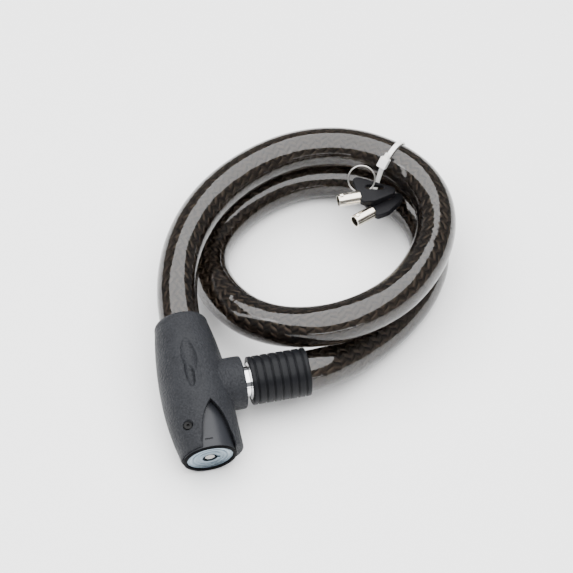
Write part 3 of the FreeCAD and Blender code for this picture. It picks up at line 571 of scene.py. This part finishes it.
@dataclass
class Cable:
    """The armoured cable: a clear smoke sleeve over a braid of flat wires on a dark rope."""

    diameter: float = 0.022
    length: float = 0.823
    sleeve_sides: int = 48
    sleeve_step: float = 0.0016
    rope_radius: float = 0.00655
    rope_sides: int = 24
    rope_step: float = 0.003
    braid_radius: float = 0.00690
    braid_rise: float = 0.00014
    braid_pitch: float = 0.090
    braid_step: float = 0.0009
    strands: int = 12
    strand_width: float = 0.00352
    strand_thickness: float = 0.0002
    strand_crown: float = 0.35
    follow_start: float = 0.80
    follow_end: float = 0.965
    guide_resolution: int = 24
    path_step: float = 0.003
    batch: int = 4096

    def route(self) -> list[Point]:
        """Return the route's control points, in metres, from inside the head to inside the plug."""
        return [
            (-0.00360, 0.02429, 0.02819), (-0.00360, 0.04660, 0.03293), (0.00110, 0.07064, 0.03520),
            (0.01050, 0.09424, 0.03520), (0.02480, 0.11494, 0.03520), (0.04290, 0.13104, 0.03520),
            (0.06390, 0.14254, 0.03520), (0.08640, 0.14864, 0.03520), (0.10890, 0.14704, 0.03520),
            (0.12820, 0.13804, 0.03540), (0.14590, 0.12004, 0.03540), (0.15300, 0.09694, 0.03540),
            (0.14880, 0.07214, 0.03580), (0.13540, 0.04884, 0.03700), (0.11590, 0.02924, 0.03860),
            (0.09340, 0.01794, 0.04020), (0.07090, 0.01464, 0.03960), (0.04920, 0.02424, 0.03240),
            (0.03240, 0.04064, 0.02680), (0.02280, 0.06314, 0.02240), (0.02180, 0.08814, 0.01560),
            (0.02990, 0.11124, 0.01180), (0.04790, 0.13004, 0.01120), (0.07190, 0.14304, 0.01120),
            (0.09790, 0.14704, 0.01120), (0.12390, 0.13784, 0.01280), (0.14190, 0.12024, 0.01280),
            (0.15020, 0.09664, 0.01180), (0.14690, 0.07164, 0.01120), (0.13340, 0.04924, 0.01120),
            (0.11540, 0.03184, 0.01140), (0.09690, 0.01884, 0.01320), (0.07940, 0.00764, 0.01720),
            (0.06240, -0.00036, 0.02295), (0.04360, -0.00036, 0.02295),
        ]

    def guide(self) -> np.ndarray:
        """Return close points on the route's NURBS line."""
        curve = bpy.data.curves.new("cable_guide", "CURVE")
        curve.dimensions = "3D"
        curve.resolution_u = self.guide_resolution
        spline = curve.splines.new("NURBS")
        places = self.route()
        spline.points.add(len(places) - 1)
        for point, place in zip(spline.points, places):
            point.co = (*place, 1.0)
        spline.order_u = 3
        spline.use_endpoint_u = True
        holder = bpy.data.objects.new("cable_guide", curve)
        bpy.context.scene.collection.objects.link(holder)
        mesh = bpy.data.meshes.new_from_object(holder)
        line = np.array([v.co for v in mesh.vertices], float)
        bpy.data.meshes.remove(mesh)
        bpy.data.objects.remove(holder)
        return line

    @staticmethod
    def distances(line: np.ndarray) -> np.ndarray:
        """Return each point's distance along a line.

        Args:
            line: the line's points.
        """
        return np.concatenate([[0.0], np.cumsum(np.linalg.norm(np.diff(line, axis=0), axis=1))])

    def frames(self, line: np.ndarray, step: float) -> tuple[np.ndarray, np.ndarray, np.ndarray, np.ndarray]:
        """Space the line evenly and carry a frame along it without twist.

        Args:
            line: points of the centre line.
            step: distance between rings.

        Returns:
            Ring centres, side directions, second side directions and distances from the start.
        """
        run = self.distances(line)
        count = int(run[-1] / step) + 1
        at = np.linspace(0.0, run[-1], count)
        centres = np.stack([np.interp(at, run, line[:, k]) for k in range(3)], axis=1)
        ahead = np.gradient(centres, axis=0)
        ahead /= np.linalg.norm(ahead, axis=1)[:, None]
        side = np.cross(ahead[0], (0.0, 0.0, 1.0))
        sides = []
        for way in ahead:
            side = side - way * np.dot(side, way)
            side = side / np.linalg.norm(side)
            sides.append(side)
        first = np.array(sides)
        return centres, first, np.cross(ahead, first), at

    @staticmethod
    def swept_faces(start: int, rings: int, size: int) -> Faces:
        """Join rings of points to a closed skin with flat ends.

        Args:
            start: number of the first point.
            rings: number of rings.
            size: points in a ring.

        Returns:
            The corner numbers of each face.
        """
        faces: Faces = []
        for k in range(rings - 1):
            near = start + k * size
            far = near + size
            for i in range(size):
                j = (i + 1) % size
                faces.append((near + i, near + j, far + j, far + i))
        faces.append(tuple(start + i for i in reversed(range(size))))
        faces.append(tuple(start + (rings - 1) * size + i for i in range(size)))
        return faces

    @staticmethod
    def swept_piece(name: str, verts: np.ndarray, faces: Faces) -> bpy.types.Object:
        """Make an object of a swept skin.

        Args:
            name: the piece's name.
            verts: points in the part's frame.
            faces: corner numbers of each face.

        Returns:
            The object, smooth shaded.
        """
        mesh = bpy.data.meshes.new(name)
        mesh.from_pydata(verts.tolist(), [], faces)
        mesh.shade_smooth()
        mesh.update()
        piece = bpy.data.objects.new(name, mesh)
        bpy.context.scene.collection.objects.link(piece)
        return piece

    def tube(self, name: str, radius: float, sides: int, step: float) -> bpy.types.Object:
        """Sweep a closed round tube along the route.

        Args:
            name: the piece's name.
            radius: the tube's radius.
            sides: number of faces round it.
            step: distance between rings.

        Returns:
            The object.
        """
        centres, first, second, _ = self.frames(self.guide(), step)
        angles = np.linspace(0.0, FULL_TURN, sides, endpoint=False)
        ring = (np.cos(angles)[None, :, None] * first[:, None, :]
                + np.sin(angles)[None, :, None] * second[:, None, :])
        verts = (centres[:, None, :] + radius * ring).reshape(-1, 3)
        return self.swept_piece(name, verts, self.swept_faces(0, len(centres), sides))

    def braid(self, name: str, hand: int) -> bpy.types.Object:
        """Lay the flat wires of one hand, each passing over and under those of the other hand.

        Args:
            name: the piece's name.
            hand: 1 for the wires that turn right, -1 for those that turn left.

        Returns:
            The object.
        """
        centres, first, second, at = self.frames(self.guide(), self.braid_step)
        half = self.strand_width / 2.0 / self.braid_radius
        lift = hand * self.braid_rise * np.cos(FULL_TURN * at * self.strands / self.braid_pitch)
        section = ((-half, 0.0), (0.0, self.strand_crown), (half, 0.0), (half, -1.0), (-half, -1.0))
        rings, size = len(centres), len(section)
        verts = []
        faces: Faces = []
        for number in range(self.strands):
            turn = FULL_TURN * (number / self.strands + hand * at / self.braid_pitch)
            strand = np.zeros((rings, size, 3))
            for corner, (offset, height) in enumerate(section):
                radius = self.braid_radius + lift + height * self.strand_thickness
                angle = turn + offset
                strand[:, corner, :] = centres + radius[:, None] * (
                    np.cos(angle)[:, None] * first + np.sin(angle)[:, None] * second)
            faces.extend(self.swept_faces(len(verts), rings, size))
            verts.extend(strand.reshape(-1, 3))
        return self.swept_piece(name, np.array(verts), faces)

    def follow_plug(self, piece: bpy.types.Object) -> None:
        """Put a piece's place into its mesh and weigh its points by distance along the cable, easing in over
        the last stretch toward the plug; the weights don't move the points.

        Args:
            piece: a piece that runs along the route.
        """
        line = self.guide()
        run = self.distances(line)
        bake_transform(piece)
        points = np.zeros(len(piece.data.vertices) * 3)
        piece.data.vertices.foreach_get("co", points)
        points = points.reshape(-1, 3)
        share = np.zeros(len(points))
        for low in range(0, len(points), self.batch):
            block = points[low:low + self.batch]
            nearest = ((block[:, None, :] - line[None, :, :]) ** 2).sum(axis=2).argmin(axis=1)
            share[low:low + self.batch] = run[nearest] / run[-1]
        ease = np.clip((share - self.follow_start) / (self.follow_end - self.follow_start), 0.0, 1.0)
        ease = ease * ease * (3.0 - 2.0 * ease)

    def build(self, finishes: Finishes) -> None:
        """Args:
            finishes: the lock's materials.
        """
        sleeve = self.tube("cable_sleeve_clear", self.diameter / 2.0, self.sleeve_sides, self.sleeve_step)
        rope = self.tube("cable_rope", self.rope_radius, self.rope_sides, self.rope_step)
        right = self.braid("cable_braid_right", 1)
        left = self.braid("cable_braid_left", -1)
        for piece, finish in ((sleeve, "smoke_sleeve"), (rope, "dark_steel"), (right, "braided_core"),
                              (left, "braided_core")):
            finishes.put(piece, finish)
            self.follow_plug(piece)
            log.info("%s: %d faces", piece.name, len(piece.data.polygons))
        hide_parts("cable_sleeve")
        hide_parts("cable_core")
        centres = self.frames(self.guide(), self.path_step)[0]


@dataclass
class HeadMoulding:
    """The head's upper cover with its shallow eye-shaped scoop, and the rubber lip round the lock face."""

    crown: float = 0.0188
    merge_distance: float = 0.000002
    smooth_angle: float = math.radians(32.0)
    scoop_x: float = -0.0036
    scoop_y: float = 0.0125
    scoop_half_width: float = 0.0098
    scoop_half_length: float = 0.0285
    scoop_half_height: float = 0.0060
    scoop_depth: float = 0.0023
    scoop_turn: float = math.radians(3.0)
    scoop_segments: int = 96
    scoop_rings: int = 48
    lip_radius: float = 0.01320
    lip_height: float = 0.00085
    lip_spread: float = 1.3
    lip_back: float = 0.35
    lip_place: float = -0.0402
    lip_segments: int = 128
    lip_sides: int = 16

    @staticmethod
    def place(x: float, y: float, z: float) -> Vector:
        """Turn a place in the head's own frame into the part's frame.

        Args:
            x: along the plug.
            y: along the barrel.
            z: out of the head's top.

        Returns:
            The place.
        """
        return HEAD_CENTRE + Vector((x, 0.0, 0.0)) + BARREL_WAY * y + HEAD_TOP_WAY * z

    @staticmethod
    def pick(piece: bpy.types.Object) -> None:
        """Select one piece alone and make it active.

        Args:
            piece: the object.
        """
        bpy.ops.object.select_all(action="DESELECT")
        piece.select_set(True)
        bpy.context.view_layer.objects.active = piece

    def settle(self, piece: bpy.types.Object) -> None:
        """Put a piece's place into its mesh.

        Args:
            piece: the object.
        """
        self.pick(piece)
        bpy.ops.object.transform_apply(location=True, rotation=True, scale=True)

    def cover_copy(self) -> bpy.types.Object:
        """Return a merged copy of the frame's upper cover."""
        cover = frame["nodes"]["cover_top"].copy()
        cover.data = cover.data.copy()
        cover.name = "cover_top_scooped"
        cover.parent = None
        for key in list(cover.keys()):
            del cover[key]
        bpy.context.scene.collection.objects.link(cover)
        skin = bmesh.new()
        skin.from_mesh(cover.data)
        bmesh.ops.remove_doubles(skin, verts=skin.verts, dist=self.merge_distance)
        skin.to_mesh(cover.data)
        skin.free()
        return cover

    def scoop_cutter(self) -> bpy.types.Object:
        """Return the long rounded shape that the scoop is cut with."""
        height = self.crown + self.scoop_half_height - self.scoop_depth
        bpy.ops.object.select_all(action="DESELECT")
        bpy.ops.mesh.primitive_uv_sphere_add(
            segments=self.scoop_segments, ring_count=self.scoop_rings, radius=1.0,
            location=self.place(self.scoop_x, self.scoop_y, height),
            rotation=(HEAD_PITCH, 0.0, self.scoop_turn))
        cutter = bpy.context.object
        cutter.scale = (self.scoop_half_width, self.scoop_half_length, self.scoop_half_height)
        self.settle(cutter)
        return cutter

    def scooped_cover(self) -> bpy.types.Object:
        """Return the upper cover with the scoop cut into its crown."""
        cover = self.cover_copy()
        cutter = self.scoop_cutter()
        cut = cover.modifiers.new("scoop", "BOOLEAN")
        cut.operation = "DIFFERENCE"
        cut.solver = "EXACT"
        cut.object = cutter
        self.pick(cover)
        bpy.ops.object.modifier_apply(modifier=cut.name)
        bpy.data.objects.remove(cutter)
        bpy.ops.object.shade_smooth_by_angle(angle=self.smooth_angle)
        return cover

    def face_lip(self) -> bpy.types.Object:
        """Return the rubber lip round the lock face, a ring of low domed section with a nearly flat back."""
        bpy.ops.object.select_all(action="DESELECT")
        bpy.ops.mesh.primitive_torus_add(
            major_radius=self.lip_radius, minor_radius=self.lip_height,
            major_segments=self.lip_segments, minor_segments=self.lip_sides)
        lip = bpy.context.object
        lip.name = "face_lip"
        for vert in lip.data.vertices:
            x, y, z = vert.co
            reach = math.hypot(x, y)
            spread = (self.lip_radius + (reach - self.lip_radius) * self.lip_spread) / reach
            vert.co = (x * spread, y * spread, z if z > 0.0 else z * self.lip_back)
        lip.location = self.place(0.0, self.lip_place, 0.0)
        lip.rotation_euler = FACE_TURN
        self.settle(lip)
        bpy.ops.object.shade_smooth()
        return lip

    def build(self, finishes: Finishes) -> None:
        """Make, dress and attach the pieces.

        Args:
            finishes: the lock's materials.
        """
        cover = self.scooped_cover()
        lip = self.face_lip()
        for piece, finish in ((cover, "moulded_cover"), (lip, "seal_rubber")):
            finishes.put(piece, finish)
            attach(piece, "root")
            log.info("%s: %d faces", piece.name, len(piece.data.polygons))
        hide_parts("cover_top")


@dataclass
class Dressing:
    """Gives each solid of the frame its finish."""

    finishes: Finishes

    def build(self) -> None:
        """Dress every node after the slot that the record gives it."""
        for part in frame["record"]["subparts"]:
            node, slot = part["node"], part["material_slot"]
            self.finishes.put(frame["nodes"][node], slot)
            log.info("%s: %s", node, slot)


@dataclass(frozen=True)
class SoftBox:
    """A soft studio lamp."""

    name: str
    place: Point
    size: Span
    watts: float
    shape: BoxShape = BoxShape.STRIP

    def hang(self, aim: Point) -> None:
        """Hang the lamp.

        Args:
            aim: the point that it faces.
        """
        data = bpy.data.lights.new(self.name, "AREA")
        data.shape = self.shape.value
        data.size, data.size_y = self.size
        data.energy = self.watts
        lamp = bpy.data.objects.new(self.name, data)
        lamp.location = self.place
        lamp.rotation_euler = (Vector(aim) - Vector(self.place)).to_track_quat("-Z", "Y").to_euler()
        bpy.context.scene.collection.objects.link(lamp)


@dataclass
class Studio:
    """Pale floor, soft lights and the camera at the photograph's angle."""

    camera_place: Point = (-0.16590, -0.78409, 1.04701)
    azimuth: float = math.radians(-11.7)
    elevation: float = math.radians(52.0)
    focal: float = 154.16
    sensor: float = 36.0
    aim_right: float = 0.03737
    aim_up: float = 0.04230
    floor_size: float = 8.0
    floor_shade: Colour = (0.93, 0.93, 0.93)
    floor_roughness: float = 0.9
    lit_point: Point = (0.07, 0.06, 0.02)
    boxes: tuple[SoftBox, ...] = (
        SoftBox("overhead", (0.05, 0.08, 1.15), (2.5, 2.5), 98.0, BoxShape.ROUND),
        SoftBox("front_strip", (0.1, -1.7, 0.22), (2.2, 0.14), 6.5),
        SoftBox("left_side", (-1.5, 0.3, 0.9), (0.3, 1.2), 6.0),
    )
    room_shade: Colour = (0.95, 0.97, 1.0)
    room_strength: float = 0.30

    def floor(self) -> None:
        """Lay the floor."""
        bpy.ops.object.select_all(action="DESELECT")
        bpy.ops.mesh.primitive_plane_add(size=self.floor_size, location=ORIGIN)
        floor = bpy.context.object
        floor.name = "floor"
        material, _, surface = new_material("pale_floor")
        surface.inputs["Base Color"].default_value = (*self.floor_shade, 1.0)
        surface.inputs["Roughness"].default_value = self.floor_roughness
        floor.data.materials.append(material)

    def lights(self) -> None:
        """Hang the soft boxes and set the pale surroundings."""
        for box in self.boxes:
            box.hang(self.lit_point)
        world = bpy.data.worlds.new("pale_room")
        world.use_nodes = True
        background = world.node_tree.nodes["Background"]
        background.inputs["Color"].default_value = (*self.room_shade, 1.0)
        background.inputs["Strength"].default_value = self.room_strength
        bpy.context.scene.world = world

    def camera(self) -> None:
        """Set up the camera, aimed at the middle of the photograph's frame."""
        turn, lift = self.azimuth, self.elevation
        back = Vector((math.sin(turn) * math.cos(lift), -math.cos(turn) * math.cos(lift), math.sin(lift)))
        right = Vector((math.cos(turn), math.sin(turn), 0.0))
        up = back.cross(right)
        back = (back - right * self.aim_right - up * self.aim_up).normalized()
        right = (right - back * right.dot(back)).normalized()
        up = back.cross(right)
        data = bpy.data.cameras.new("camera")
        data.lens = self.focal
        data.sensor_width = self.sensor
        camera = bpy.data.objects.new("camera", data)
        camera.matrix_world = Matrix((
            (right.x, up.x, back.x, self.camera_place[0]),
            (right.y, up.y, back.y, self.camera_place[1]),
            (right.z, up.z, back.z, self.camera_place[2]),
            (0.0, 0.0, 0.0, 1.0)))
        bpy.context.scene.collection.objects.link(camera)
        bpy.context.scene.camera = camera


def main() -> None:
    """Build the lock's looks in order."""
    logging.basicConfig(level=logging.INFO, format="%(message)s")
    bpy.ops.object.select_all(action="DESELECT")
    studio = Studio()
    studio.camera()
    finishes = Finishes()
    Dressing(finishes).build()
    HeadMoulding().build(finishes)
    Cable().build(finishes)
    studio.floor()
    studio.lights()


if __name__ == "__main__":
    main()
